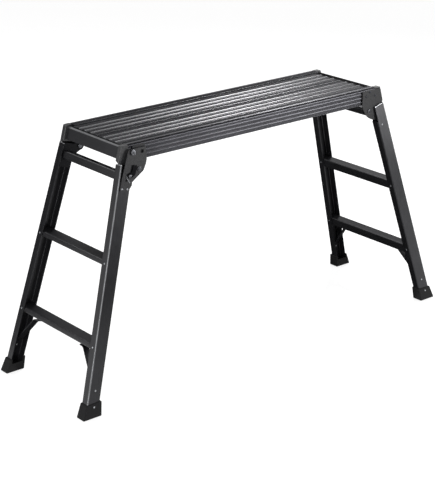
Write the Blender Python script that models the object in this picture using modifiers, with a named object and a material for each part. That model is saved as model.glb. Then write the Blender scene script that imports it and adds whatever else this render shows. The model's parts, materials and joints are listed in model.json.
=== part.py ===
"""Folding work platform: a ribbed deck on two splayed leg frames that fold under it.

X runs along the deck, -Y is the front, +Z is up. The origin is on the floor under the middle of
the deck. Lengths are written in millimetres and turned into metres by MM.
"""
import math

import bmesh
import bpy

MM = 0.001

# Whole platform
DECK_HEIGHT = 774 * MM
DECK_LENGTH = 1036 * MM
DECK_WIDTH = 300 * MM
SPLAY = math.radians(15.56)
LEAN = math.radians(4.98)

# Clearances
FIT = 0.3 * MM
RUN = 0.6 * MM
SHEET = 3 * MM

# Deck extrusions
RAIL_WIDTH = 30 * MM
RAIL_DEPTH = 50 * MM
RAIL_WALL = 2.5 * MM
GROOVES = (0.17, 0.415, 0.66, 0.905)
GROOVE_WIDTH = 3.6 * MM
GROOVE_DEPTH = 1.4 * MM
LEDGE_REACH = 12 * MM
LEDGE_TOP = 22.8 * MM
JOINER_WIDTH = 20 * MM
JOINER_FOOT = 44 * MM
JOINER_DROP = 1 * MM
RIB_HEIGHT = 2.5 * MM
RIB_WIDTH = 15 * MM
RIB_PITCH = 30 * MM
RIB_CHAMFER = 1 * MM
RIB_OFFSET = -3 * MM
BEARER_WIDTH = 40 * MM
BEARER_RISE = 4.2 * MM
BEARER_X = 200 * MM

# Deck ends
CAP_LENGTH = 22 * MM
CAP_WIDTH = 17 * MM
CAP_RISE = 6 * MM
CAP_PROUD = 1 * MM
CAP_PLUG = 20 * MM
END_SETBACK = 9 * MM
END_LIP = 9.7 * MM
END_DROP = 5 * MM
END_RISE = 6.5 * MM

# Leg channels, in the leg frame: x outward from the pivot, z up along the leg
PIVOT_INSET = 50 * MM
PIVOT_DROP = 23 * MM
STILE_OFFSET = 19.4 * MM
STILE_DEPTH = 44.1 * MM
STILE_WIDTH = 26.3 * MM
STILE_WALL = 2.2 * MM
STILE_TOP = 5 * MM
WEB_STANDOFF = 9.4 * MM
STILE_GROUND = 10 * MM
NOTCH_FOOT = -48 * MM
LEFT_NOTCH_FOOT = -45 * MM

# Rungs, braces and feet; rung heights and brace fall are shares of the leg from pivot to floor
LEFT_RUNGS = (0.7146, 0.3731)
RIGHT_RUNGS = (0.7215, 0.3792)
RUNG_OUTER = 15 * MM
RUNG_INNER = 34 * MM
RUNG_WALL = 2 * MM
RUNG_ROUND = 4 * MM
BRACE_WIDTH = 22 * MM
BRACE_REACH = 74 * MM
BRACE_TAB = 20 * MM
BRACE_FALL = 0.1347
FOOT_OVER_X = 9.4 * MM
FOOT_OVER_Y = 6.3 * MM
FOOT_WALL = 4 * MM
FOOT_OUTER = 43 * MM
FOOT_INNER = 44 * MM
FOOT_ROUND = 3 * MM
MOUTH_HEIGHT = 28 * MM
MOUTH_ROUND = 4 * MM

# Spreader tubes
SPREADER_Z = -31 * MM
SPREADER_X = 29 * MM
SPREADER_TALL = 26.5 * MM
SPREADER_WALL = 2 * MM
SPREADER_ROUND = 6 * MM

# Hinges
KNUCKLE_THICK = 12 * MM
KNUCKLE_FOOT = -70 * MM
KNUCKLE_TOP = 4 * MM
EAR_RADIUS = 14 * MM
EAR_SLOPE = -36 * MM
PIN_RADIUS = 5 * MM
PIN_HEAD = 7.5 * MM
PIN_HEAD_TALL = 2.8 * MM
BRACKET_REACH = 30.5 * MM
BRACKET_TOP = 4 * MM
BRACKET_BELLY = ((-27 * MM, 11 * MM), (-16 * MM, -8 * MM), (-3 * MM, -21.5 * MM), (15 * MM, -31 * MM))
BRACKET_TOE = (31.5 * MM, -36 * MM)
BRACKET_WING = 27 * MM
BRACKET_HEEL = -24 * MM
BRACKET_ROUND = 4 * MM
BRACKET_SETBACK = 2 * MM
RIVET_RADIUS = 2.4 * MM
RIVET_HEAD = 4.8 * MM
RIVET_TALL = 2 * MM
DOME = 0.2
CROWN = 0.7
RIVETS = ((-14 * MM, 51 * MM), (26 * MM, 49 * MM))
BOLT_X = 31.9 * MM
BOLT_Z = 44.4 * MM
BOLT_RADIUS = 4 * MM
BOLT_HEAD = 8.5 * MM
BOLT_TALL = 5 * MM
BOLT_REACH = 3.5 * MM
SIGHT_HOLE = (-1.9 * MM, 51.5 * MM, 6 * MM)
PLATE_TOP = 61 * MM
PLATE_CORNER = 31.5 * MM
PLATE_ROUND = 5 * MM
PLATE_HIP = ((18.1 * MM, -41.2 * MM), (17.4 * MM, -51 * MM), (24 * MM, -61.6 * MM))
PLATE_FOOT = ((27 * MM, -71 * MM), (57.5 * MM, -71 * MM), (56.6 * MM, -42 * MM))
LEVER_SLOT = (19 * MM, -4 * MM, 5 * MM, 9 * MM)
PLATE_SLOT = (40.5 * MM, -38 * MM, 3 * MM)

# Lock levers
LEVER_THICK = 4 * MM
LEVER_PIN = 3 * MM
LEVER_PIN_HEAD = 5 * MM
LEVER_PIN_TALL = 2 * MM
OUTER_LEVER = (33 * MM, -24 * MM)
OUTER_LEVER_EDGE = ((5, -5), (5, 5), (-6, 12), (-8, 33), (-21, 33), (-19, 5), (-5, -6))
INNER_LEVER = (52 * MM, -6 * MM)
INNER_LEVER_EDGE = ((5, 5), (-30, 4), (-44, -3), (-40, -9), (-30, -6), (5, -5))
LEVER_ROUND = 2.5 * MM

STEPS = 24
CORNER_STEPS = 4
CORNER_SHARE = 0.45
WELD = 0.001 * MM
ALONG_X = (math.pi / 2, 0, math.pi / 2)
ALONG_Y = (math.pi / 2, 0, 0)
UPRIGHT = (0, 0, 0)

RAIL_BOTTOM = DECK_HEIGHT - RAIL_DEPTH
RAIL_LENGTH = DECK_LENGTH - 2 * CAP_LENGTH
PLANK_LENGTH = DECK_LENGTH - 2 * (END_SETBACK + END_LIP + FIT)
INSIDE = DECK_WIDTH / 2 - RAIL_WIDTH
PIVOT_X = DECK_LENGTH / 2 - PIVOT_INSET
PIVOT_Z = RAIL_BOTTOM - PIVOT_DROP
WEB_Y = DECK_WIDTH / 2 + WEB_STANDOFF
BRACKET_Y = DECK_WIDTH / 2 + FIT
KNUCKLE_Y = DECK_WIDTH / 2 + FIT - RUN
KNUCKLE_IN = KNUCKLE_Y - KNUCKLE_THICK
STILE_IN = STILE_OFFSET + STILE_WALL + FIT
STILE_OUT = STILE_OFFSET + STILE_DEPTH - STILE_WALL - FIT
STILE_MID = STILE_OFFSET + STILE_DEPTH / 2
LEG_LENGTH = PIVOT_Z / math.cos(SPLAY)


for old in list(bpy.data.objects):
    bpy.data.objects.remove(old, do_unlink=True)

PARTS = bpy.data.collections.new("work_platform_bench")
CUTTERS = bpy.data.collections.new("cutters")
bpy.context.scene.collection.children.link(PARTS)
bpy.context.scene.collection.children.link(CUTTERS)


def finish(name, color, roughness, metallic):
    material = bpy.data.materials.new(name)
    material.use_nodes = True
    shader = material.node_tree.nodes["Principled BSDF"]
    shader.inputs["Base Color"].default_value = (*color, 1)
    shader.inputs["Roughness"].default_value = roughness
    shader.inputs["Metallic"].default_value = metallic
    return material


DARK_ALLOY = finish("dark_alloy", (0.030, 0.030, 0.034), 0.45, 0.6)
DECK_ALLOY = finish("deck_alloy", (0.045, 0.045, 0.049), 0.38, 0.6)
GREY_PLATE = finish("grey_plate", (0.060, 0.060, 0.063), 0.5, 0.5)
CAP_PLASTIC = finish("cap_plastic", (0.075, 0.075, 0.078), 0.6, 0.0)
FOOT_RUBBER = finish("foot_rubber", (0.020, 0.020, 0.021), 0.75, 0.0)
BRIGHT_STEEL = finish("bright_steel", (0.35, 0.35, 0.36), 0.35, 0.9)


def empty(name, parent, location, rotation):
    """Frame that carries the pieces turning or leaning together."""
    frame = bpy.data.objects.new(name, None)
    frame.parent = parent
    frame.location = location
    frame.rotation_euler = rotation
    PARTS.objects.link(frame)
    return frame


def place(name, mesh, material, parent, location, rotation):
    piece = bpy.data.objects.new(name, mesh)
    piece.parent = parent
    piece.location = location
    piece.rotation_euler = rotation
    if material is None:
        CUTTERS.objects.link(piece)
        piece.display_type = "WIRE"
        piece.hide_render = True
    else:
        PARTS.objects.link(piece)
        mesh.materials.clear()
        mesh.materials.append(material)
    return piece


def extrusion(name, loops, length, material, parent, location, rotation):
    """Solid of constant section: the first outline is the outside, the others are holes."""
    curve = bpy.data.curves.new(name, "CURVE")
    curve.dimensions = "2D"
    curve.fill_mode = "BOTH"
    curve.extrude = length / 2
    for loop in loops:
        spline = curve.splines.new("POLY")
        spline.points.add(len(loop) - 1)
        spline.use_cyclic_u = True
        for point, (across, up) in zip(spline.points, loop):
            point.co = (across, up, 0, 1)
    drawn = bpy.data.objects.new(name, curve)
    CUTTERS.objects.link(drawn)
    bpy.context.view_layer.update()
    mesh = bpy.data.meshes.new_from_object(drawn.evaluated_get(bpy.context.evaluated_depsgraph_get()))
    bpy.data.objects.remove(drawn, do_unlink=True)
    bpy.data.curves.remove(curve)
    shell = bmesh.new()
    shell.from_mesh(mesh)
    bmesh.ops.remove_doubles(shell, verts=shell.verts, dist=WELD)
    shell.to_mesh(mesh)
    shell.free()
    mesh.name = name
    return place(name, mesh, material, parent, location, rotation)


def turned(name, profile, material, parent, location, rotation):
    """Round piece about its own Z from (radius, height) points running from top to bottom."""
    mesh = bpy.data.meshes.new(name)
    points = [(radius, 0, height) for radius, height in profile]
    mesh.from_pydata(points, [(i, i + 1) for i in range(len(points) - 1)], [])
    piece = place(name, mesh, material, parent, location, rotation)
    screw = piece.modifiers.new("turn", "SCREW")
    screw.axis = "Z"
    screw.steps = STEPS
    screw.render_steps = STEPS
    screw.use_merge_vertices = True
    screw.merge_threshold = WELD
    return piece


def box(name, low, high, material, parent):
    """Block between two corners of its parent's frame."""
    mesh = bpy.data.meshes.new(name)
    block = bmesh.new()
    bmesh.ops.create_cube(block, size=1)
    for corner in block.verts:
        for axis in range(3):
            half = (high[axis] - low[axis]) / 2
            corner.co[axis] = math.copysign(half, corner.co[axis])
    block.to_mesh(mesh)
    block.free()
    middle = [(a + b) / 2 for a, b in zip(low, high)]
    return place(name, mesh, material, parent, middle, UPRIGHT)


def combine(piece, tool, operation):
    change = piece.modifiers.new(tool.name, "BOOLEAN")
    change.operation = operation
    change.solver = "EXACT"
    change.object = tool


def arc(middle, radius, start, stop, steps):
    turn = [math.radians(start + (stop - start) * i / steps) for i in range(steps + 1)]
    return [(middle[0] + radius * math.cos(a), middle[1] + radius * math.sin(a)) for a in turn]


def ring(middle, radius):
    return arc(middle, radius, 0, 360, STEPS)[:-1]


def slot(middle, half_width, half_height):
    """Upright oblong hole with round ends."""
    top = (middle[0], middle[1] + half_height - half_width)
    bottom = (middle[0], middle[1] - half_height + half_width)
    return arc(top, half_width, 0, 180, 8) + arc(bottom, half_width, 180, 360, 8)


def rectangle(left, bottom, right, top):
    return [(left, bottom), (right, bottom), (right, top), (left, top)]


def flip(loop):
    return [(-across, up) for across, up in reversed(loop)]


def rounded(points, radius, steps=CORNER_STEPS):
    """Outline with every corner turned into an arc of the given radius."""
    outline = []
    for i, corner in enumerate(points):
        before = points[i - 1]
        after = points[(i + 1) % len(points)]
        back = (before[0] - corner[0], before[1] - corner[1])
        ahead = (after[0] - corner[0], after[1] - corner[1])
        long_back = math.hypot(*back)
        long_ahead = math.hypot(*ahead)
        back = (back[0] / long_back, back[1] / long_back)
        ahead = (ahead[0] / long_ahead, ahead[1] / long_ahead)
        half = math.acos(max(-1, min(1, back[0] * ahead[0] + back[1] * ahead[1]))) / 2
        set_off = min(radius / math.tan(half), CORNER_SHARE * long_back, CORNER_SHARE * long_ahead)
        first = (corner[0] + back[0] * set_off, corner[1] + back[1] * set_off)
        last = (corner[0] + ahead[0] * set_off, corner[1] + ahead[1] * set_off)
        for step in range(steps + 1):
            t = step / steps
            a, b, c = (1 - t) ** 2, 2 * t * (1 - t), t ** 2
            outline.append((a * first[0] + b * corner[0] + c * last[0],
                            a * first[1] + b * corner[1] + c * last[1]))
    return outline


def inset(points, depth):
    """Convex counter-clockwise outline moved inward by a wall thickness."""
    moved = []
    for i, corner in enumerate(points):
        before = points[i - 1]
        after = points[(i + 1) % len(points)]
        lines = []
        for a, b in ((before, corner), (corner, after)):
            run = math.hypot(b[0] - a[0], b[1] - a[1])
            normal = (-(b[1] - a[1]) / run, (b[0] - a[0]) / run)
            lines.append((normal, normal[0] * a[0] + normal[1] * a[1] + depth))
        (m, p), (n, q) = lines
        area = m[0] * n[1] - m[1] * n[0]
        moved.append(((p * n[1] - q * m[1]) / area, (m[0] * q - n[0] * p) / area))
    return moved


def strip(points, thickness):
    """Outline of a bent strap drawn round its middle line."""
    sides = ([], [])
    for i, here in enumerate(points):
        before = points[max(i - 1, 0)]
        after = points[min(i + 1, len(points) - 1)]
        along = []
        for a, b in ((before, here), (here, after)):
            run = math.hypot(b[0] - a[0], b[1] - a[1])
            if run:
                along.append(((b[0] - a[0]) / run, (b[1] - a[1]) / run))
        mean = (along[0][0] + along[-1][0], along[0][1] + along[-1][1])
        size = math.hypot(*mean)
        normal = (-mean[1] / size, mean[0] / size)
        reach = thickness / 2 / (normal[0] * -along[0][1] + normal[1] * along[0][0])
        sides[0].append((here[0] + normal[0] * reach, here[1] + normal[1] * reach))
        sides[1].append((here[0] - normal[0] * reach, here[1] - normal[1] * reach))
    return sides[0] + sides[1][::-1]


def to_leg(x, z):
    """Deck point, outward from the pivot and up, as seen in the leg frame."""
    return x * math.cos(SPLAY) + z * math.sin(SPLAY), z * math.cos(SPLAY) - x * math.sin(SPLAY)


def from_leg(x, z):
    return x * math.cos(SPLAY) - z * math.sin(SPLAY), z * math.cos(SPLAY) + x * math.sin(SPLAY)


def above_floor(x, height):
    """Leg-frame z of a height above the floor, at x out from the pivot."""
    return (height - PIVOT_Z - x * math.sin(SPLAY)) / math.cos(SPLAY)


def web_inner(z):
    """Distance from the middle plane to the inner face of a channel web."""
    return WEB_Y - z * math.tan(LEAN) - STILE_WALL / math.cos(LEAN)


deck = empty("deck", None, (0, 0, 0), UPRIGHT)

# Rails, planks and joiner run the length of the deck
rail_face = [(RAIL_WIDTH, 0), (0, 0)]
for share in GROOVES:
    middle = share * RAIL_DEPTH
    rail_face += [(0, middle - GROOVE_WIDTH / 2), (GROOVE_DEPTH, middle - GROOVE_WIDTH / 4)]
    rail_face += [(GROOVE_DEPTH, middle + GROOVE_WIDTH / 4), (0, middle + GROOVE_WIDTH / 2)]
LEDGE_BOTTOM = LEDGE_TOP + SHEET
rail_face += [(0, RAIL_DEPTH), (RAIL_WIDTH, RAIL_DEPTH), (RAIL_WIDTH, LEDGE_BOTTOM)]
rail_face += [(RAIL_WIDTH + LEDGE_REACH, LEDGE_BOTTOM), (RAIL_WIDTH + LEDGE_REACH, LEDGE_TOP)]
rail_face += [(RAIL_WIDTH, LEDGE_TOP)]
BORE_OUT = GROOVE_DEPTH + RAIL_WALL
BORE_IN = RAIL_WIDTH - RAIL_WALL
rail_bore = rectangle(BORE_OUT, RAIL_WALL, BORE_IN, RAIL_DEPTH - RAIL_WALL)

PLANK_IN = JOINER_WIDTH / 2 + FIT
PLANK_OUT = INSIDE - FIT
PLANK_MID = (PLANK_IN + PLANK_OUT) / 2
PLANK_BOTTOM = LEDGE_TOP - FIT
plank_face = [(PLANK_IN, PLANK_BOTTOM), (PLANK_IN, RIB_HEIGHT)]
for k in (-1, 0, 1):
    middle = PLANK_MID + RIB_OFFSET + k * RIB_PITCH
    low, high = middle - RIB_WIDTH / 2, middle + RIB_WIDTH / 2
    plank_face += [(low, RIB_HEIGHT), (low + RIB_CHAMFER, 0), (high - RIB_CHAMFER, 0), (high, RIB_HEIGHT)]
plank_face += [(PLANK_OUT, RIB_HEIGHT), (PLANK_OUT, PLANK_BOTTOM)]
CELL = (PLANK_OUT - PLANK_IN - RAIL_WALL) / 3
plank_cells = []
for k in range(3):
    start = PLANK_IN + RAIL_WALL + k * CELL
    plank_cells.append(rectangle(start, RIB_HEIGHT + RAIL_WALL, start + CELL - RAIL_WALL,
                                 PLANK_BOTTOM - RAIL_WALL))

for word, sign in (("front", -1), ("rear", 1)):
    rail = []
    for loop in (rail_face, rail_bore):
        rail.append([(sign * (DECK_WIDTH / 2 - a), DECK_HEIGHT - d) for a, d in loop])
    extrusion(word + "_rail", rail, RAIL_LENGTH, DECK_ALLOY, deck, (0, 0, 0), ALONG_X)
    plank = [[(sign * a, DECK_HEIGHT - d) for a, d in loop] for loop in (plank_face, *plank_cells)]
    extrusion(word + "_plank", plank, PLANK_LENGTH, DECK_ALLOY, deck, (0, 0, 0), ALONG_X)

joiner = [(JOINER_WIDTH / 2, JOINER_DROP), (JOINER_WIDTH / 2, LEDGE_TOP), (JOINER_FOOT / 2, LEDGE_TOP)]
joiner += [(JOINER_FOOT / 2, LEDGE_BOTTOM)]
joiner = [(a, DECK_HEIGHT - d) for a, d in joiner]
extrusion("centre_joiner", [joiner + flip(joiner)], PLANK_LENGTH, DECK_ALLOY, deck, (0, 0, 0), ALONG_X)

bearer_top = DECK_HEIGHT - LEDGE_BOTTOM - FIT
half = BEARER_WIDTH / 2
bearer_low = RAIL_BOTTOM + BEARER_RISE
bearer = [(half, bearer_top), (half, bearer_low)]
bearer += [(half - SHEET, bearer_low), (half - SHEET, bearer_top - SHEET)]
for word, sign in (("left", -1), ("right", 1)):
    extrusion(word + "_cross_bearer", [bearer + flip(bearer)], 2 * (INSIDE - FIT), DARK_ALLOY, deck,
              (sign * BEARER_X, 0, 0), ALONG_Y)

# Slanted end channels and the moulded caps that close the rails
SLANT = math.tan(SPLAY)
end_x = DECK_LENGTH / 2 - END_SETBACK
end_back = end_x - END_LIP
end_top = DECK_HEIGHT - END_DROP
end_low = RAIL_BOTTOM + END_RISE
end_run = (end_top - end_low) * SLANT
end_face = [(end_back, end_top), (end_x, end_top), (end_x + end_run, end_low), (end_back, end_low)]
end_face += [(end_back, end_low + SHEET), (end_x + end_run - SHEET * SLANT - SHEET, end_low + SHEET)]
end_face += [(end_x + SHEET * SLANT - SHEET, end_top - SHEET), (end_back, end_top - SHEET)]
cap_back = RAIL_LENGTH / 2 + FIT
cap_top = DECK_HEIGHT + CAP_PROUD
cap_low = RAIL_BOTTOM + CAP_RISE
cap_face = [(cap_back, cap_top), (cap_back, cap_low)]
cap_face += [(DECK_LENGTH / 2 + (cap_top - cap_low) * SLANT, cap_low), (DECK_LENGTH / 2, cap_top)]
CAP_OUT = DECK_WIDTH / 2
CAP_IN = CAP_OUT - CAP_WIDTH
for word, side in (("left", -1), ("right", 1)):
    shape = end_face if side > 0 else flip(end_face)
    extrusion(word + "_end_channel", [shape], 2 * (CAP_IN - FIT), DARK_ALLOY, deck, (0, 0, 0), ALONG_Y)
    shape = cap_face if side > 0 else flip(cap_face)
    for face, sign in (("front", -1), ("rear", 1)):
        name = word + "_" + face + "_rail_cap"
        cap = extrusion(name, [shape], CAP_WIDTH, CAP_PLASTIC, deck,
                        (0, sign * (CAP_OUT + CAP_IN) / 2, 0), ALONG_Y)
        plug_x = sorted((side * (cap_back - CAP_PLUG), side * (cap_back + CAP_LENGTH / 2)))
        plug_y = sorted((sign * (DECK_WIDTH / 2 - BORE_OUT - FIT), sign * (CAP_IN + RAIL_WALL)))
        plug = box(name + "_plug", (plug_x[0], plug_y[0], cap_low + RAIL_WALL),
                   (plug_x[1], plug_y[1], DECK_HEIGHT - RAIL_WALL - FIT), None, deck)
        combine(cap, plug, "UNION")

# Hinge brackets on the rails, in deck directions outward from the pivot and up
bracket_top = DECK_HEIGHT - BRACKET_TOP - PIVOT_Z
bolt_out = from_leg(BOLT_X, BOLT_Z)[0]
stop_edge = bolt_out - BOLT_RADIUS - FIT
left_bracket = [(-BRACKET_REACH, bracket_top), (-BRACKET_REACH, PIVOT_DROP), *BRACKET_BELLY[:3]]
left_bracket += [(stop_edge, BRACKET_HEEL), (stop_edge, bracket_top)]
left_bracket = rounded(left_bracket, BRACKET_ROUND)
wing_low = DECK_LENGTH / 2 - BRACKET_SETBACK + (cap_top - PIVOT_Z - BRACKET_WING) * SLANT - PIVOT_X
wing_top = DECK_LENGTH / 2 - BRACKET_SETBACK + (cap_top - PIVOT_Z - bracket_top) * SLANT - PIVOT_X
right_bracket = [(-BRACKET_REACH, bracket_top), (-BRACKET_REACH, PIVOT_DROP), *BRACKET_BELLY, BRACKET_TOE]
right_bracket += [(BRACKET_TOE[0], BRACKET_WING), (wing_low, BRACKET_WING), (wing_top, bracket_top)]
right_bracket = rounded(right_bracket, BRACKET_ROUND)
pin_hole = ring((0, 0), PIN_RADIUS + FIT)
rivet_holes = [ring(spot, RIVET_RADIUS + FIT) for spot in RIVETS]
BRACKET_MID = BRACKET_Y + SHEET / 2
BRACKET_FACE = BRACKET_Y + SHEET
for face, sign in (("front", -1), ("rear", 1)):
    extrusion("left_" + face + "_bracket", [flip(left_bracket), flip(pin_hole)], SHEET, GREY_PLATE, deck,
              (-PIVOT_X, sign * BRACKET_MID, PIVOT_Z), ALONG_Y)
    extrusion("right_" + face + "_bracket", [right_bracket, pin_hole, *rivet_holes], SHEET, GREY_PLATE, deck,
              (PIVOT_X, sign * BRACKET_MID, PIVOT_Z), ALONG_Y)
    for number, (out, up) in enumerate(RIVETS, 1):
        head = FIT + RIVET_TALL
        turned("right_" + face + "_bracket_rivet_" + str(number),
               [(0, head), (RIVET_HEAD * CROWN, head - RIVET_TALL * DOME),
                (RIVET_HEAD, FIT + RIVET_TALL * DOME), (RIVET_HEAD, FIT),
                (RIVET_RADIUS, FIT), (RIVET_RADIUS, -SHEET), (0, -SHEET)],
               BRIGHT_STEEL, deck, (PIVOT_X + out, sign * BRACKET_FACE, PIVOT_Z + up),
               (-sign * math.pi / 2, 0, 0))

# Outlines shared by the two leg frames
STILE_BASE = above_floor(STILE_OFFSET, STILE_GROUND)
channel = [(STILE_OFFSET, 0), (STILE_OFFSET, -STILE_WIDTH), (STILE_OFFSET + STILE_WALL, -STILE_WIDTH)]
channel += [(STILE_OFFSET + STILE_WALL, -STILE_WALL)]
mirror_line = 2 * STILE_MID
channel += [(mirror_line - x, y) for x, y in reversed(channel)]
rung_fall = (STILE_OUT - STILE_IN) / 2 * SLANT
rung_face = [(STILE_IN, rung_fall), (STILE_IN, rung_fall - RUNG_INNER)]
rung_face += [(STILE_OUT, -rung_fall - RUNG_OUTER), (STILE_OUT, -rung_fall)]
rung_core = rounded(inset(rung_face, RUNG_WALL), RUNG_ROUND - RUNG_WALL)
rung_face = rounded(rung_face, RUNG_ROUND)
rung_low = rung_fall - RUNG_INNER
rung_slope = (RUNG_INNER - RUNG_OUTER - 2 * rung_fall) / (STILE_OUT - STILE_IN)
brace_seat = rung_low + rung_slope * (STILE_MID - BRACE_WIDTH / 2 - STILE_IN) - FIT
half = SPREADER_X / 2
spread = rectangle(STILE_MID - half, -SPREADER_TALL / 2, STILE_MID + half, SPREADER_TALL / 2)
spread_core = rounded(inset(spread, SPREADER_WALL), SPREADER_ROUND - SPREADER_WALL)
spread_face = rounded(spread, SPREADER_ROUND)
knuckle = arc((0, 0), EAR_RADIUS, 80, 255, 10)
knuckle += [(STILE_IN, EAR_SLOPE), (STILE_IN, KNUCKLE_FOOT), (STILE_OUT, KNUCKLE_FOOT)]
knuckle += [(STILE_OUT, KNUCKLE_TOP), (STILE_IN, KNUCKLE_TOP)]
plate_face = [to_leg(PLATE_CORNER, PLATE_TOP), to_leg(-BRACKET_REACH, PLATE_TOP)]
plate_face += [to_leg(-BRACKET_REACH, PIVOT_DROP), to_leg(*BRACKET_BELLY[0]), to_leg(*BRACKET_BELLY[1])]
plate_face = rounded([*plate_face, *PLATE_HIP, *PLATE_FOOT], PLATE_ROUND)
outer_lever = rounded([(x * MM, z * MM) for x, z in OUTER_LEVER_EDGE], LEVER_ROUND)
inner_lever = rounded([(x * MM, z * MM) for x, z in INNER_LEVER_EDGE], LEVER_ROUND)
lever_bore = ring((0, 0), LEVER_PIN + FIT)
mouth = [(STILE_IN, above_floor(STILE_IN, MOUTH_HEIGHT)), (STILE_OUT, above_floor(STILE_OUT, MOUTH_HEIGHT))]
mouth += [(x, z + 2 * FOOT_OUTER) for x, z in reversed(mouth)]
mouth = rounded(mouth, MOUTH_ROUND)
PLATE_SEAT = FIT
PLATE_FACE = PLATE_SEAT + SHEET


def leg_frame(word, side, rungs, notch_foot):
    """One ladder frame: channels, rungs, braces, feet and the hinge pieces that turn with it."""
    leg = empty(word + "_leg", deck, (side * PIVOT_X, 0, PIVOT_Z), (0, -SPLAY, 0 if side > 0 else math.pi))
    heights = [-share * LEG_LENGTH for share in rungs]
    for level, height in zip(("lower", "upper"), heights):
        reach = web_inner(height + rung_fall) - FIT
        extrusion(word + "_" + level + "_rung", [rung_face, rung_core], 2 * reach, DARK_ALLOY, leg,
                  (0, 0, height), ALONG_Y)
    extrusion(word + "_spreader", [spread_face, spread_core], 2 * (KNUCKLE_IN - FIT), DARK_ALLOY, leg,
              (0, 0, SPREADER_Z), ALONG_Y)
    for face, sign in (("front", -1), ("rear", 1)):
        way = sign * side
        name = word + "_" + face
        corner = empty(name + "_corner", leg, (0, way * WEB_Y, 0), (way * LEAN, 0, 0))
        stile_face = [(x, way * y) for x, y in channel]
        stile = extrusion(name + "_stile", [stile_face], STILE_TOP - STILE_BASE, DARK_ALLOY, corner,
                          (0, 0, (STILE_TOP + STILE_BASE) / 2), UPRIGHT)
        far = 2 * STILE_WIDTH
        notch_web = -STILE_WALL - FIT if side > 0 else far
        notch_y = sorted((way * notch_web, -way * far))
        notch_x = STILE_IN if side > 0 else STILE_OUT
        notch = box(name + "_notch", (-far, notch_y[0], notch_foot), (notch_x, notch_y[1], far),
                    None, corner)
        combine(stile, notch, "DIFFERENCE")
        extrusion(name + "_knuckle", [knuckle, pin_hole], KNUCKLE_THICK, GREY_PLATE, leg,
                  (0, way * (KNUCKLE_Y + KNUCKLE_IN) / 2, 0), ALONG_Y)
        brace(name, leg, way, heights[0])
        foot(name, leg, corner, side, sign)
        if side > 0:
            inner_hinge(name, leg, way)
        else:
            outer_hinge(name, leg, corner, way)


def brace(name, leg, way, rung_height):
    """Bent strap from under the lower rung to the inside of the channel web."""
    seat = rung_height + brace_seat - SHEET / 2
    bend = web_inner(seat) - BRACE_REACH
    low = seat - BRACE_FALL * LEG_LENGTH
    gap = FIT / math.cos(LEAN) + SHEET / 2
    line = [(bend - BRACE_TAB, seat), (bend, seat), (web_inner(low) - gap, low)]
    line += [(web_inner(low - BRACE_TAB) - gap, low - BRACE_TAB)]
    shape = strip([(way * y, z) for y, z in line], SHEET)
    extrusion(name + "_knee_brace", [shape], BRACE_WIDTH, DARK_ALLOY, leg, (STILE_MID, 0, 0), ALONG_X)


def foot(name, leg, corner, side, sign):
    """Moulded boot, level underneath, with a socket for the channel and a low rim on its open side."""
    middle_z = above_floor(STILE_MID, 0)
    base_x = PIVOT_X + from_leg(STILE_MID, middle_z)[0]
    base_y = WEB_Y - middle_z * math.tan(LEAN) - STILE_WIDTH / 2
    half_x = STILE_DEPTH / math.cos(SPLAY) / 2
    half_y = STILE_WIDTH / math.cos(LEAN) / 2
    mesh = bpy.data.meshes.new(name + "_foot")
    boot = bmesh.new()
    bmesh.ops.create_cube(boot, size=2)
    for point in boot.verts:
        out = point.co.x * side
        away = point.co.y * sign
        if point.co.z < 0:
            height, grow_x, grow_y = 0, FOOT_OVER_X, FOOT_OVER_Y
        else:
            height = FOOT_OUTER if out > 0 else FOOT_INNER
            grow_x, grow_y = FOOT_WALL, FOOT_WALL
        x = base_x - height * SLANT + out * (half_x + grow_x)
        y = base_y - height * math.tan(LEAN) / math.cos(SPLAY) + away * (half_y + grow_y)
        point.co = (side * x, sign * y, height)
    boot.to_mesh(mesh)
    boot.free()
    bpy.context.view_layer.update()
    mesh.transform(leg.matrix_world.inverted())
    piece = place(name + "_foot", mesh, FOOT_RUBBER, leg, (0, 0, 0), UPRIGHT)
    edges = piece.modifiers.new("edges", "BEVEL")
    edges.width = FOOT_ROUND
    edges.segments = 2
    way = sign * side
    socket_y = sorted((way * FIT, -way * (STILE_WIDTH + FIT)))
    socket = box(name + "_socket", (STILE_OFFSET - FIT, socket_y[0], STILE_BASE - FIT),
                 (STILE_OFFSET + STILE_DEPTH + FIT, socket_y[1], STILE_BASE + 4 * FOOT_OUTER), None, corner)
    combine(piece, socket, "DIFFERENCE")
    opening = extrusion(name + "_mouth", [mouth], 2 * STILE_WIDTH, None, leg,
                        (0, way * (base_y - STILE_WIDTH), 0), ALONG_Y)
    combine(piece, opening, "DIFFERENCE")


def lever_pin(name, parent, location, rotation, inner_depth):
    """Shouldered pin whose head holds a lock lever; its shank ends in the plate behind."""
    top = LEVER_THICK + 2 * FIT + LEVER_PIN_TALL
    turned(name + "_lever_pin",
           [(0, top), (LEVER_PIN_HEAD, top), (LEVER_PIN_HEAD, top - LEVER_PIN_TALL),
            (LEVER_PIN, top - LEVER_PIN_TALL), (LEVER_PIN, -inner_depth), (0, -inner_depth)],
           BRIGHT_STEEL, parent, location, rotation)


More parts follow.
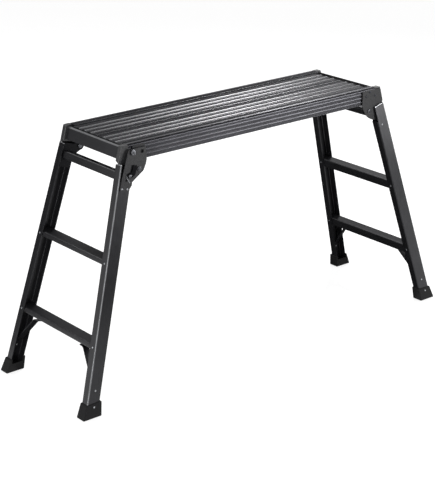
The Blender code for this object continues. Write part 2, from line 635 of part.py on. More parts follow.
def inner_hinge(name, leg, way):
    """Right hinge pieces: a headed pivot pin and a lock lever on the inner side of the knuckle."""
    outer_end = BRACKET_FACE + FIT + PIN_HEAD_TALL
    inner_end = KNUCKLE_IN - FIT - PIN_HEAD_TALL
    turned(name + "_pivot_pin",
           [(0, outer_end), (PIN_HEAD * CROWN, outer_end), (PIN_HEAD, outer_end - PIN_HEAD_TALL / 2),
            (PIN_HEAD, BRACKET_FACE + FIT), (PIN_RADIUS, BRACKET_FACE + FIT), (PIN_RADIUS, KNUCKLE_IN - FIT),
            (PIN_HEAD, KNUCKLE_IN - FIT), (PIN_HEAD, inner_end), (0, inner_end)],
           BRIGHT_STEEL, leg, (0, 0, 0), (-way * math.pi / 2, 0, 0))
    seat = KNUCKLE_IN - FIT
    axle = empty(name + "_lever_axis", leg, (INNER_LEVER[0], way * seat, INNER_LEVER[1]), UPRIGHT)
    extrusion(name + "_lock_lever", [inner_lever, lever_bore], LEVER_THICK, BRIGHT_STEEL, axle,
              (0, -way * LEVER_THICK / 2, 0), ALONG_Y)
    lever_pin(name, leg, (INNER_LEVER[0], way * seat, INNER_LEVER[1]), (way * math.pi / 2, 0, 0), 0)


def outer_hinge(name, leg, corner, way):
    """Left hinge pieces: the plate outside the web, its stop bolt, pivot pin and lock lever."""
    bolt_hole = ring((BOLT_X, BOLT_Z), BOLT_RADIUS + FIT)
    sight = ring(SIGHT_HOLE[:2], SIGHT_HOLE[2])
    lever_slot = slot(LEVER_SLOT[:2], LEVER_SLOT[2], LEVER_SLOT[3])
    square = rectangle(PLATE_SLOT[0] - PLATE_SLOT[2], PLATE_SLOT[1] - PLATE_SLOT[2],
                       PLATE_SLOT[0] + PLATE_SLOT[2], PLATE_SLOT[1] + PLATE_SLOT[2])
    lever_hole = ring(OUTER_LEVER, LEVER_PIN + FIT)
    extrusion(name + "_hinge_plate", [plate_face, bolt_hole, sight, lever_slot, square, lever_hole,
                                      ring((0, 0), PIN_RADIUS + 3 * FIT)],
              SHEET, GREY_PLATE, corner, (0, way * (PLATE_SEAT + SHEET / 2), 0), ALONG_Y)
    head_foot = PLATE_FACE + FIT
    head = head_foot + BOLT_TALL
    turned(name + "_stop_bolt",
           [(0, head), (BOLT_HEAD * CROWN, head), (BOLT_HEAD, head - BOLT_TALL / 4), (BOLT_HEAD, head_foot),
            (BOLT_RADIUS, head_foot), (BOLT_RADIUS, -BOLT_REACH), (0, -BOLT_REACH)],
           BRIGHT_STEEL, corner, (BOLT_X, 0, BOLT_Z), (-way * math.pi / 2, 0, 0))
    tilt = PIN_HEAD * math.sin(LEAN)
    head_low = WEB_Y + PLATE_FACE / math.cos(LEAN) + tilt + FIT
    collar_top = WEB_Y + PLATE_SEAT - 2 * tilt
    inner_end = KNUCKLE_IN - FIT - PIN_HEAD_TALL
    turned(name + "_pivot_pin",
           [(0, head_low + PIN_HEAD_TALL), (PIN_HEAD * CROWN, head_low + PIN_HEAD_TALL),
            (PIN_HEAD, head_low + PIN_HEAD_TALL / 2), (PIN_HEAD, head_low), (PIN_RADIUS, head_low),
            (PIN_RADIUS, collar_top), (PIN_HEAD, collar_top), (PIN_HEAD, BRACKET_FACE + FIT),
            (PIN_RADIUS, BRACKET_FACE + FIT), (PIN_RADIUS, KNUCKLE_IN - FIT), (PIN_HEAD, KNUCKLE_IN - FIT),
            (PIN_HEAD, inner_end), (0, inner_end)],
           BRIGHT_STEEL, leg, (0, 0, 0), (-way * math.pi / 2, 0, 0))
    seat = PLATE_FACE + FIT
    axle = empty(name + "_lever_axis", corner, (OUTER_LEVER[0], way * seat, OUTER_LEVER[1]), UPRIGHT)
    extrusion(name + "_lock_lever", [outer_lever, lever_bore], LEVER_THICK, DARK_ALLOY, axle,
              (0, way * LEVER_THICK / 2, 0), ALONG_Y)
    lever_pin(name, corner, (OUTER_LEVER[0], way * seat, OUTER_LEVER[1]), (-way * math.pi / 2, 0, 0),
              FIT + SHEET)


leg_frame("left", -1, LEFT_RUNGS, LEFT_NOTCH_FOOT)
leg_frame("right", 1, RIGHT_RUNGS, NOTCH_FOOT)
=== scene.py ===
"""Folding work platform in black anodised aluminium, dressed around its CAD frame for a studio picture.

X runs along the deck, -Y is the front and +Z is up. Outlines are in millimetres, turned to metres by MM.
The sections follow the platform as it is put together: deck, deck ends, leg frames, hinges, studio.
"""
import json
import math

import bmesh
import bpy
from mathutils import Matrix, Vector


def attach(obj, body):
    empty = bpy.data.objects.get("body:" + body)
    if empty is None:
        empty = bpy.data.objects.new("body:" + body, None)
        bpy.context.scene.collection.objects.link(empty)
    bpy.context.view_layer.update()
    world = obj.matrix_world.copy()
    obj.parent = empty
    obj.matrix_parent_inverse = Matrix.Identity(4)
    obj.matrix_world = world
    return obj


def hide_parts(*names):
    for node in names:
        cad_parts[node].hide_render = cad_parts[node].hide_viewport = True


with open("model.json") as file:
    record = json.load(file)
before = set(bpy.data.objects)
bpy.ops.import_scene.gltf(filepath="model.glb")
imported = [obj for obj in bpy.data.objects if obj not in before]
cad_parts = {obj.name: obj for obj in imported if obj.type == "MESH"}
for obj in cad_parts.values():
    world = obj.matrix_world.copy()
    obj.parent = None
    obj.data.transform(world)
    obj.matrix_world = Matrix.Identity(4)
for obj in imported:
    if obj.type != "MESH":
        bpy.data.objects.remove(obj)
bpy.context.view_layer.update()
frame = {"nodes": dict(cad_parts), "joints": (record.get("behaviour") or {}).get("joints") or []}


# Rails: two hollow aluminium extrusions along the long sides of the deck. The die gives them a swollen
# top edge, a deep slot under it and four grooves down the outer face; then they are anodised black.
MM = 0.001
FACES = (("front", -1), ("rear", 1))
DECK_TOP = 774
DECK_HALF = 150
RAIL_WIDTH = 30
RAIL_DEPTH = 50
RAIL_WALL = 2.5
RAIL_LENGTH = 992
LEDGE = (12, 22.8, 25.8)
RAIL_CREST = 1
RAIL_BACK = 0.4
RAIL_TOP = ((17, -RAIL_CREST, 4), (10.5, 0.35, 2.5), (1.4, -0.6, 0.3))
EDGE_SLOT = ((6.4, 2.4, 0.3), (5.8, 3.8, 0.3))
FIRST_RIDGE = ((1.3, 1.6, 0.4), (0.6, 2.2, 0.5), (0, 4.8, 0.8), (0.4, 6.2, 0.5))
LAST_RIDGE = ((0.5, 47.6, 0.8), (0, 49, 0.5), (0.6, 50, 0.4))
GROOVES = (8.5, 20.75, 33, 45.25)
GROOVE_DEPTH = 2
GROOVE_HALF = 1.0
RIDGE_SHOULDER = (0.9, 2.2)
CORNER_STEPS = 5
WELD = 0.001 * MM
SHARP = math.radians(38)
DIE_RUN = 1500 * MM
DIE_LINE = 2.2 * MM
DYE_PATCH = 90 * MM
DYE_GRAIN = 1.6 * MM
DYE_SPAN = (0.7, 1.3)
LINE_SPAN = (0.3, 0.7)
LINE_GLOSS = 0.02
GRAIN_BUMP = 0.01
GRAIN_RISE = 0.2 * MM
# Mesh attribute and pale metal colour for the highlight painted along folds and cut tops.
PAINTED_HIGHLIGHT = "painted_highlight"
HIGHLIGHT_PALE = "#c4c5c8"
ALONG_DECK = Matrix(((0, 0, 1, 0), (1, 0, 0, 0), (0, 1, 0, 0), (0, 0, 0, 1)))


def linear(code):
    """sRGB hex colour as linear RGBA."""
    parts = [int(code[i:i + 2], 16) / 255 for i in (1, 3, 5)]
    return (*[c / 12.92 if c <= 0.04045 else ((c + 0.055) / 1.055) ** 2.4 for c in parts], 1)


def node(tree, kind, sockets=None, **settings):
    """Adds a shader node: settings are its properties, sockets its input values or outputs to link."""
    made = tree.nodes.new("ShaderNode" + kind)
    for name, value in settings.items():
        setattr(made, name, value)
    for name, value in (sockets or {}).items():
        if isinstance(value, bpy.types.NodeSocket):
            tree.links.new(value, made.inputs[name])
        else:
            made.inputs[name].default_value = value
    return made


def anodised(name, dark, light, metallic, rough, turn):
    """Anodised aluminium: dye that took a little unevenly, die lines along the length, painted fold
    highlights.

    To the eye it is a deep satin black whose shine is broken into soft streaks, with a pale highlight
    painted along folds and cut tops. The lines and the grain are drawn a few times coarser than real ones,
    to show.
    """
    made = bpy.data.materials.new(name)
    made.use_nodes = True
    tree = made.node_tree
    shader = tree.nodes["Principled BSDF"]
    place = node(tree, "TexCoord").outputs["Object"]
    stretch = (DIE_RUN, DIE_LINE, DIE_LINE)
    drawn = node(tree, "Mapping", {"Vector": place, "Rotation": turn, "Scale": stretch},
                 vector_type="TEXTURE").outputs["Vector"]
    lines = node(tree, "TexNoise", {"Vector": drawn, "Scale": 1, "Detail": 1}).outputs["Fac"]
    dye = node(tree, "TexNoise", {"Vector": place, "Scale": 1 / DYE_PATCH, "Detail": 3}).outputs["Fac"]
    grain = node(tree, "TexNoise", {"Vector": place, "Scale": 1 / DYE_GRAIN, "Detail": 2}).outputs["Fac"]
    both = node(tree, "Math", {0: lines, 1: dye}, operation="ADD").outputs[0]
    share = node(tree, "MapRange", {"Value": both, "From Min": DYE_SPAN[0],
                                    "From Max": DYE_SPAN[1]}).outputs["Result"]
    dyed = node(tree, "Mix", {0: share, 6: linear(dark), 7: linear(light)}, data_type="RGBA").outputs[2]
    # Painted highlight: a pale line where the attribute marks folds and cut tops.
    painted_highlight = node(tree, "Attribute", attribute_name=PAINTED_HIGHLIGHT).outputs["Fac"]
    highlighted = node(tree, "Math", {0: painted_highlight, 1: both}, operation="MULTIPLY").outputs[0]
    color = node(tree, "Mix", {0: highlighted, 6: dyed, 7: linear(HIGHLIGHT_PALE)}, data_type="RGBA").outputs[2]
    gloss = node(tree, "MapRange", {"Value": lines, "From Min": LINE_SPAN[0], "From Max": LINE_SPAN[1],
                                    "To Min": rough - LINE_GLOSS,
                                    "To Max": rough + LINE_GLOSS}).outputs["Result"]
    bump = node(tree, "Bump", {"Height": grain, "Strength": GRAIN_BUMP,
                               "Distance": GRAIN_RISE}).outputs["Normal"]
    tree.links.new(color, shader.inputs["Base Color"])
    tree.links.new(gloss, shader.inputs["Roughness"])
    tree.links.new(bump, shader.inputs["Normal"])
    shader.inputs["Metallic"].default_value = metallic
    return made


def rounded(shape, spots, corners):
    """Rounds the spots of an outline by the last number of their corners."""
    for size in sorted({corner[-1] for corner in corners} - {0}):
        chosen = [spot for spot, corner in zip(spots, corners) if corner[-1] == size]
        bmesh.ops.bevel(shape, geom=chosen, offset=size * MM, offset_type="OFFSET", segments=CORNER_STEPS,
                        profile=0.5, affect="VERTICES", material=-1)


def section(outline, *holes):
    """Flat face in XY from (x, y, rounding) corners in millimetres, with holes of the same kind."""
    shape = bmesh.new()
    for corners in (outline, *holes):
        spots = [shape.verts.new((x * MM, y * MM, 0)) for x, y, _ in corners]
        shape.faces.new(spots)
        rounded(shape, spots, corners)
    if holes:
        bmesh.ops.delete(shape, geom=shape.faces[:], context="FACES_ONLY")
        bmesh.ops.triangle_fill(shape, use_beauty=True, edges=shape.edges[:])
    return shape


def drawn_out(shape, length, place):
    """Draws a section out along Z, centred on its plane, and puts the bar in its place."""
    grown = bmesh.ops.extrude_face_region(shape, geom=shape.faces[:])["geom"]
    moved = [part for part in grown if isinstance(part, bmesh.types.BMVert)]
    bmesh.ops.translate(shape, verts=moved, vec=(0, 0, length * MM))
    bmesh.ops.translate(shape, verts=shape.verts, vec=(0, 0, -length * MM / 2))
    bmesh.ops.transform(shape, matrix=place, verts=shape.verts)
    bmesh.ops.recalc_face_normals(shape, faces=shape.faces)
    return shape


def piece(name, shape, finish, body, nodes=(), edge=0.3, wall=0, middle=-1):
    """Finished object from a shape: wall thickness, small edges, even shading, and what it stands for."""
    mesh = bpy.data.meshes.new(name)
    shape.to_mesh(mesh)
    shape.free()
    mesh.shade_smooth()
    mesh.set_sharp_from_angle(angle=SHARP)
    mesh.materials.append(finish)
    made = bpy.data.objects.new(name, mesh)
    bpy.context.scene.collection.objects.link(made)
    if wall:
        sheet = made.modifiers.new("wall", "SOLIDIFY")
        sheet.thickness = wall * MM
        sheet.offset = middle
        sheet.use_even_offset = True
    if edge:
        round_edge = made.modifiers.new("edge", "BEVEL")
        round_edge.width = edge * MM
        round_edge.segments = 2
        round_edge.limit_method = "ANGLE"
        round_edge.angle_limit = SHARP
    made.modifiers.new("shading", "WEIGHTED_NORMAL").keep_sharp = True
    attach(made, body)
    if nodes:
        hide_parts(*nodes)
    return made


def deck_bar(corners, sign):
    """Corners given inward from the deck's outer face and down from its top, as across and up."""
    return [(sign * (DECK_HALF - inward), DECK_TOP - down, size) for inward, down, size in corners]


DECK_GRAIN = (0, 0, 0)
rail_finish = anodised("black_anodised_aluminium_rail", "#3a3a3e", "#48484c", 0.7, 0.26, DECK_GRAIN)
reach, ledge_top, ledge_low = LEDGE
rail_face = [(RAIL_WIDTH, ledge_low, 0.3), (RAIL_WIDTH + reach, ledge_low, 0.3)]
rail_face += [(RAIL_WIDTH + reach, ledge_top, 0.3), (RAIL_WIDTH, ledge_top, 0.3)]
rail_face += [(RAIL_WIDTH, RAIL_BACK - RAIL_CREST, 0.8)]
rail_face += [*RAIL_TOP, *EDGE_SLOT, *FIRST_RIDGE, (GROOVE_DEPTH, GROOVES[0] - GROOVE_HALF, 0.3)]
for above, below in zip(GROOVES, GROOVES[1:]):
    swell, start = RIDGE_SHOULDER
    rail_face += [(GROOVE_DEPTH, above + GROOVE_HALF, 0.3), (swell, above + start, 0.8)]
    rail_face += [(0, (above + below) / 2, 2.9), (swell, below - start, 0.8)]
    rail_face += [(GROOVE_DEPTH, below - GROOVE_HALF, 0.3)]
rail_face += [(GROOVE_DEPTH, GROOVES[-1] + GROOVE_HALF, 0.3), *LAST_RIDGE, (RAIL_WIDTH, RAIL_DEPTH, 0.5)]
bore_out = GROOVE_DEPTH + RAIL_WALL
bore_top = EDGE_SLOT[1][1] + RAIL_WALL
rail_bore = [(bore_out, bore_top, 1), (RAIL_WIDTH - RAIL_WALL, bore_top, 1)]
rail_bore += [(RAIL_WIDTH - RAIL_WALL, RAIL_DEPTH - RAIL_WALL, 1), (bore_out, RAIL_DEPTH - RAIL_WALL, 1)]
for face, sign in FACES:
    rail = section(deck_bar(rail_face, sign), deck_bar(rail_bore, sign))
    bar = drawn_out(rail, RAIL_LENGTH, ALONG_DECK)
    piece(face + "_rail_extrusion", bar, rail_finish, "deck", [face + "_rail"])


# Planks: two wide ribbed aluminium extrusions that are stood on. Each has three rounded ribs, which catch
# the light, and hollow cells inside. They lie on the rails' ledges and the joiner's foot, a little to
# the left.
PLANK_LENGTH = 983
PLANK_SHIFT = -11.5
PLANK_IN = 10.3
PLANK_OUT = 119.7
PLANK_LOW = 22.5
PLANK_SKIN = 1.2
RIBS = (32, 62, 92)
RIB_FOOT = 7.4
RIB_CREST = 4
RIB_ROUND = 3.5
RIB_HEIGHT = 2.5
PLANK_PLACE = Matrix.Translation((PLANK_SHIFT * MM, 0, 0)) @ ALONG_DECK
plank_finish = anodised("satin_anodised_aluminium_plank", "#343437", "#404043", 0.65, 0.3, DECK_GRAIN)
plank_face = [(PLANK_IN, PLANK_LOW, 0.4), (PLANK_IN, RIB_HEIGHT, 0.5)]
for rib in RIBS:
    plank_face += [(rib - RIB_FOOT, RIB_HEIGHT, 0.3), (rib - RIB_CREST, 0, RIB_ROUND)]
    plank_face += [(rib + RIB_CREST, 0, RIB_ROUND), (rib + RIB_FOOT, RIB_HEIGHT, 0.3)]
plank_face += [(PLANK_OUT, RIB_HEIGHT, 0.5), (PLANK_OUT, PLANK_LOW, 0.4)]
cell = (PLANK_OUT - PLANK_IN - RAIL_WALL) / len(RIBS)
plank_cells = []
for k in range(len(RIBS)):
    start = PLANK_IN + RAIL_WALL + k * cell
    stop = start + cell - RAIL_WALL
    top, low = RIB_HEIGHT + PLANK_SKIN, PLANK_LOW - PLANK_SKIN
    plank_cells.append([(start, top, 1), (stop, top, 1), (stop, low, 1), (start, low, 1)])
for face, sign in FACES:
    loops = [[(sign * across, DECK_TOP - down, size) for across, down, size in loop]
             for loop in (plank_face, *plank_cells)]
    piece(face + "_plank_extrusion", drawn_out(section(*loops), PLANK_LENGTH, PLANK_PLACE), plank_finish,
          "deck", [face + "_plank"])


# Joiner: an upright tee of extruded aluminium between the two planks, anodised like the rails. It has a
# low crowned top, and the planks lie on its foot.
JOINER_SIDE = ((1.2, 0.7, 0.4), (2, 1, 0.4), (10, 1.2, 0.5), (10, 22.8, 0.3), (22, 22.8, 0.3),
               (22, 25.8, 0.3))
joiner = [(across, DECK_TOP - down, size) for across, down, size in JOINER_SIDE]
joiner += [(-across, up, size) for across, up, size in reversed(joiner)]
joiner_bar = drawn_out(section(joiner), PLANK_LENGTH, PLANK_PLACE)
piece("centre_joiner_extrusion", joiner_bar, rail_finish, "deck", ["centre_joiner"])


# Cross bearers: bent aluminium channels across the deck, anodised black. They lie under the joiner,
# between the two rails.
SIDES = (("left", -1), ("right", 1))
BEARER_EDGE = 0.8
JOIN_GAP = 5 * WELD
FLAT = math.radians(1)
ACROSS_GRAIN = (0, 0, math.pi / 2)


def soften(name, radius, finish):
    """Dresses a CAD node: its loose triangles are joined, its edges rounded and a finish put on."""
    part = frame["nodes"][name]
    weld = part.modifiers.new("weld", "WELD")
    weld.merge_threshold = JOIN_GAP
    flat = part.modifiers.new("flat", "DECIMATE")
    flat.decimate_type = "DISSOLVE"
    flat.angle_limit = FLAT
    edge = part.modifiers.new("edge", "BEVEL")
    edge.width = radius * MM
    edge.segments = 3
    edge.limit_method = "ANGLE"
    edge.angle_limit = SHARP
    part.material_slots[0].material = finish


cross_finish = anodised("black_anodised_aluminium_cross", "#242427", "#2e2e31", 0.4, 0.52, ACROSS_GRAIN)
for word, side in SIDES:
    soften(word + "_cross_bearer", BEARER_EDGE, cross_finish)


# End channels: bent aluminium sheet across the deck's short ends, its face slanted like the legs. The
# upper lip begins where the planks end, so it is wide at the right. That one is smoother and painted
# darker as shade, and each fold carries the painted highlight.
SPLAY = math.radians(15.56)
END_SHEET = 3
END_BEND = 4
END_WIDTH = 265.4
END_BACK = {"left": 503.3, "right": 480.3}
END_UNDER = 499.3
END_X = 509
END_TOP = {"left": 769, "right": 771.5}
END_LOW = 730.5
# Strength of the pale highlight painted along a sheet's fold.
FOLD_HIGHLIGHT = 0.26
ALONG_Y = Matrix.Rotation(math.pi / 2, 4, "X")


def folded(path, bend, low, high):
    """Sheet bent along (x, y) corners in millimetres, drawn up from low to high, its faces outwards."""
    shape = bmesh.new()
    spots = [shape.verts.new((x * MM, y * MM, low * MM)) for x, y in path]
    for pair in zip(spots, spots[1:]):
        shape.edges.new(pair)
    rounded(shape, spots[1:-1], [(bend,)] * (len(path) - 2))
    grown = bmesh.ops.extrude_edge_only(shape, edges=shape.edges[:])["geom"]
    moved = [part for part in grown if isinstance(part, bmesh.types.BMVert)]
    bmesh.ops.translate(shape, verts=moved, vec=(0, 0, (high - low) * MM))
    bmesh.ops.recalc_face_normals(shape, faces=shape.faces)
    inside = sum((spot.co for spot in shape.verts), Vector()) / len(shape.verts)
    facing = sum(face.normal.dot(face.calc_center_median() - inside) * face.calc_area()
                 for face in shape.faces)
    if facing < 0:
        bmesh.ops.reverse_faces(shape, faces=shape.faces)
    return shape


def rub(shape, corner, bend, cut):
    """Marks a sheet's fold at a corner, and what lies above a cut, for the pale highlight its finish paints
    there.
    """
    mark = shape.faces.layers.float.new(PAINTED_HIGHLIGHT)
    for face in shape.faces:
        away = face.calc_center_median() / MM - Vector((*corner, cut))
        if max(abs(away.x), abs(away.y)) < bend:
            face[mark] = FOLD_HIGHLIGHT
        if away.z > 0:
            face[mark] = 1


# Painted shade: the right end channel's colour is darker than the left one's.
smooth_shaded_finish = anodised("smooth_anodised_aluminium_end_painted_darker", "#111113", "#19191b", 0.4, 0.17, ACROSS_GRAIN)
end_finish = {"left": cross_finish, "right": smooth_shaded_finish}
for word, side in SIDES:
    end_back, end_top = END_BACK[word], END_TOP[word]
    end_foot = END_X + (end_top - END_LOW) * math.tan(SPLAY)
    corners = ((end_back, end_top), (END_X, end_top), (end_foot, END_LOW), (END_UNDER, END_LOW))
    path = [(side * x, z) for x, z in corners]
    channel = folded(path, END_BEND, -END_WIDTH / 2, END_WIDTH / 2)
    # Painted highlight along the upper fold of the channel.
    rub(channel, (side * END_X, end_top), END_BEND, END_WIDTH)
    bmesh.ops.transform(channel, matrix=ALONG_Y, verts=channel.verts)
    name = word + "_end_channel"
    piece(name + "_sheet", channel, end_finish[word], "deck", [name], wall=END_SHEET)


# Rail caps: end pieces of moulded nylon with soft corners and a grained surface. A plug behind each is
# pushed into the rail. The lower edges are slanted, and lower on the left pair.
CAP_BACK = 496.3
CAP_TOP = (518, 775)
CAP_LOW = 723.6
CAP_HEEL = 730
CAP_DROP = {"left": 8, "right": 0}
CAP_WIDTH = 17
CAP_ROUND = 2.6
CAP_STEPS = 4
CAP_FLUSH = 5
CAP_EDGE = 0.6
CAP_CROWN = 2
NOSE_ANGLE = math.radians(60)
CAP_PLUG = (20, 5, 12)
PLUG_ROUND = 2
PLUG_JOIN = 1
GRAIN_SPOT = 1.6 * MM
FLECK_SPAN = (0.42, 0.72)
FLECK_GLOSS = 0.1
FLECK_BUMP = 0.5
FLECK_RISE = 0.3 * MM


def moulded(name, dark, light, rough, shine):
    """Moulded glass-filled nylon: dull dark grey with pale flecks of filler in its grained skin.

    The flecks are drawn about three times coarser than real ones, so that they show.
    """
    made = bpy.data.materials.new(name)
    made.use_nodes = True
    tree = made.node_tree
    shader = tree.nodes["Principled BSDF"]
    place = node(tree, "TexCoord").outputs["Object"]
    spots = node(tree, "TexNoise", {"Vector": place, "Scale": 1 / GRAIN_SPOT, "Detail": 4}).outputs["Fac"]
    share = node(tree, "MapRange", {"Value": spots, "From Min": FLECK_SPAN[0],
                                    "From Max": FLECK_SPAN[1]}).outputs["Result"]
    color = node(tree, "Mix", {0: share, 6: linear(dark), 7: linear(light)}, data_type="RGBA").outputs[2]
    gloss = node(tree, "MapRange", {"Value": spots, "To Min": rough + FLECK_GLOSS,
                                    "To Max": rough - FLECK_GLOSS}).outputs["Result"]
    bump = node(tree, "Bump", {"Height": spots, "Strength": FLECK_BUMP,
                               "Distance": FLECK_RISE}).outputs["Normal"]
    tree.links.new(color, shader.inputs["Base Color"])
    tree.links.new(gloss, shader.inputs["Roughness"])
    tree.links.new(bump, shader.inputs["Normal"])
    shader.inputs["Specular IOR Level"].default_value = shine
    return made


cap_finish = moulded("moulded_nylon", "#202022", "#545456", 0.42, 0.6)
cap_foot = CAP_TOP[0] + (CAP_TOP[1] - CAP_LOW) * math.tan(SPLAY)
plug_run, plug_side, plug_rise = CAP_PLUG
for word, side in SIDES:
    for face, sign in FACES:
        low = CAP_LOW - CAP_DROP[word]
        foot = CAP_TOP[0] + (CAP_TOP[1] - low) * math.tan(SPLAY)
        outline = [(CAP_BACK, CAP_TOP[1], CAP_EDGE), (CAP_BACK, low, CAP_EDGE), (foot, low, CAP_EDGE)]
        outline += [(*CAP_TOP, CAP_CROWN)]
        place = Matrix.Translation((0, sign * (DECK_HALF - CAP_WIDTH / 2) * MM, 0)) @ ALONG_Y
        cap = drawn_out(section([(side * x, z, size) for x, z, size in outline]), CAP_WIDTH, place)
        heel = Vector((side * cap_foot, sign * (DECK_HALF - CAP_WIDTH), CAP_HEEL)) * MM
        fall_along = side * CAP_DROP[word] / (cap_foot - CAP_BACK)
        fall_across = -sign * (CAP_HEEL - CAP_LOW) / CAP_WIDTH
        whole = cap.verts[:] + cap.edges[:] + cap.faces[:]
        cut = bmesh.ops.bisect_plane(cap, geom=whole, dist=WELD, plane_co=heel,
                                     plane_no=(fall_along, fall_across, -1), clear_outer=True)["geom_cut"]
        bmesh.ops.edgeloop_fill(cap, edges=[part for part in cut if isinstance(part, bmesh.types.BMEdge)])
        bmesh.ops.recalc_face_normals(cap, faces=cap.faces)
        nose = [edge for edge in cap.edges
                if all(abs(spot.co.x) > (CAP_BACK + CAP_FLUSH) * MM for spot in edge.verts)
                and edge.is_manifold and edge.calc_face_angle() > NOSE_ANGLE]
        bmesh.ops.bevel(cap, geom=nose, offset=CAP_ROUND * MM, offset_type="OFFSET", segments=CAP_STEPS,
                        profile=0.5, affect="EDGES", material=-1, clamp_overlap=True)
        plug_x = sorted((side * (CAP_BACK - plug_run), side * (CAP_BACK + PLUG_JOIN)))
        plug_low, plug_top = CAP_HEEL + plug_rise, CAP_TOP[1] - plug_rise
        plug = [(plug_x[0], plug_low, PLUG_ROUND), (plug_x[1], plug_low, PLUG_ROUND)]
        plug += [(plug_x[1], plug_top, PLUG_ROUND), (plug_x[0], plug_top, PLUG_ROUND)]
        tongue = drawn_out(section(plug), CAP_WIDTH - plug_side, place)
        joined = bpy.data.meshes.new("cap")
        tongue.to_mesh(joined)
        tongue.free()
        cap.from_mesh(joined)
        bpy.data.meshes.remove(joined)
        name = word + "_" + face + "_rail_cap"
        piece(name + "_moulding", cap, cap_finish, "deck", [name])


# Hinge brackets: 3 mm steel plates cut to shape, powder coated and riveted to the rails. The coat has a
# fine orange-peel surface with pale specks.
PLATE_EDGE = 0.5
PLATE_THICK = 3
FIT = 0.3
BRACKET_MID = 151.8
BRACKET_HOLES = (((0, 0), 5.3), ((-14, 51), 2.7), ((26, 49), 2.7), ((3, 63), 2.7))
RIGHT_BRACKET = ((-30.5, 69, 4), (-30.5, 23, 4), (-27, 11, 4), (-16, -8, 4), (-3, -21.5, 4), (15, -31, 4),
                 (31.5, -36, 2), (45, -38, 3), (54, -10, 4), (57, 12, 4), (59, 27, 1), (61, 27, 1),
                 (49.4, 69, 4))
HOLE_FLAT = FIT / 9
COAT_SPECK = 1.7 * MM
COAT_SPAN = (0.38, 0.68)
COAT_GLOSS = 0.08
COAT_BUMP = 0.2
COAT_RISE = 0.15 * MM
COAT_SHINE = 0.3


def oblong(middle, half_wide, half_tall, size):
    """Rectangle with rounded corners."""
    x, y = middle
    return [(x - half_wide, y - half_tall, size), (x + half_wide, y - half_tall, size),
            (x + half_wide, y + half_tall, size), (x - half_wide, y + half_tall, size)]


def powder_coated(name, dark, light, rough):
    """Powder coated steel: dark grey satin coat with a fine speckle.

    The specks are drawn about twice as coarse as real ones.
    """
    made = bpy.data.materials.new(name)
    made.use_nodes = True
    tree = made.node_tree
    shader = tree.nodes["Principled BSDF"]
    place = node(tree, "TexCoord").outputs["Object"]
    peel = node(tree, "TexNoise", {"Vector": place, "Scale": 1 / COAT_SPECK, "Detail": 3}).outputs["Fac"]
    share = node(tree, "MapRange", {"Value": peel, "From Min": COAT_SPAN[0],
                                    "From Max": COAT_SPAN[1]}).outputs["Result"]
    color = node(tree, "Mix", {0: share, 6: linear(dark), 7: linear(light)}, data_type="RGBA").outputs[2]
    gloss = node(tree, "MapRange", {"Value": peel, "To Min": rough + COAT_GLOSS,
                                    "To Max": rough - COAT_GLOSS}).outputs["Result"]
    bump = node(tree, "Bump", {"Height": peel, "Strength": COAT_BUMP,
                               "Distance": COAT_RISE}).outputs["Normal"]
    tree.links.new(color, shader.inputs["Base Color"])
    tree.links.new(gloss, shader.inputs["Roughness"])
    tree.links.new(bump, shader.inputs["Normal"])
    shader.inputs["Specular IOR Level"].default_value = COAT_SHINE
    return made


plate_finish = powder_coated("powder_coated_steel", "#19191b", "#424244", 0.42)
pivots = {joint["child"]: Vector(joint["pos_m"]) / MM for joint in frame["joints"]}
pivot = pivots["right_leg_frame"]
for face, sign in FACES:
    soften("left_" + face + "_bracket", PLATE_EDGE, plate_finish)
    holes = [oblong(spot, size, size, size - HOLE_FLAT) for spot, size in BRACKET_HOLES]
    place = Matrix.Translation((pivot.x * MM, sign * BRACKET_MID * MM, pivot.z * MM)) @ ALONG_Y
    bracket = drawn_out(section(RIGHT_BRACKET, *holes), PLATE_THICK, place)
    name = "right_" + face + "_bracket"
    piece(name + "_plate", bracket, plate_finish, "deck", [name], edge=PLATE_EDGE)


# Bracket rivets: domed rivets of blackened steel, three in each right bracket. They go through the plate
# into the rail, and their heads stand on the plate.
RIVET_HEAD = 4.8
RIVET_TALL = 2
RIVET_SHANK = 2.4
RIVET_CROWN = 0.62
RIVET_RIM = 0.35
BRACKET_SHANK = 3
RIVET_STEPS = 32
BRACKET_FACE = 153.3
BRACKET_RIVETS = ((-14, 51), (26, 49), (3, 63))
STEEL_GRAIN = 1.2 * MM
CLOUD_GLOSS = 0.1


def plated(name, dark, light, rough):
    """Plated or blackened steel: a cool grey metal whose shine is slightly cloudy."""
    made = bpy.data.materials.new(name)
    made.use_nodes = True
    tree = made.node_tree
    shader = tree.nodes["Principled BSDF"]
    place = node(tree, "TexCoord").outputs["Object"]
    cloud = node(tree, "TexNoise", {"Vector": place, "Scale": 1 / STEEL_GRAIN, "Detail": 3}).outputs["Fac"]
    color = node(tree, "Mix", {0: cloud, 6: linear(dark), 7: linear(light)}, data_type="RGBA").outputs[2]
    gloss = node(tree, "MapRange", {"Value": cloud, "To Min": rough - CLOUD_GLOSS,
                                    "To Max": rough + CLOUD_GLOSS}).outputs["Result"]
    tree.links.new(color, shader.inputs["Base Color"])
    tree.links.new(gloss, shader.inputs["Roughness"])
    shader.inputs["Metallic"].default_value = 1
    return made


def turned(outline, steps=RIVET_STEPS):
    """Round piece about Z from (radius, height, rounding) corners in millimetres, top to bottom."""
    shape = bmesh.new()
    spots = [shape.verts.new((radius * MM, 0, height * MM)) for radius, height, _ in outline]
    for pair in zip(spots, spots[1:]):
        shape.edges.new(pair)
    rounded(shape, spots, outline)
    bmesh.ops.spin(shape, geom=shape.verts[:] + shape.edges[:], cent=(0, 0, 0), axis=(0, 0, 1),
                   angle=math.tau, steps=steps, use_merge=True)
    bmesh.ops.remove_doubles(shape, verts=shape.verts, dist=WELD)
    bmesh.ops.recalc_face_normals(shape, faces=shape.faces)
    return shape


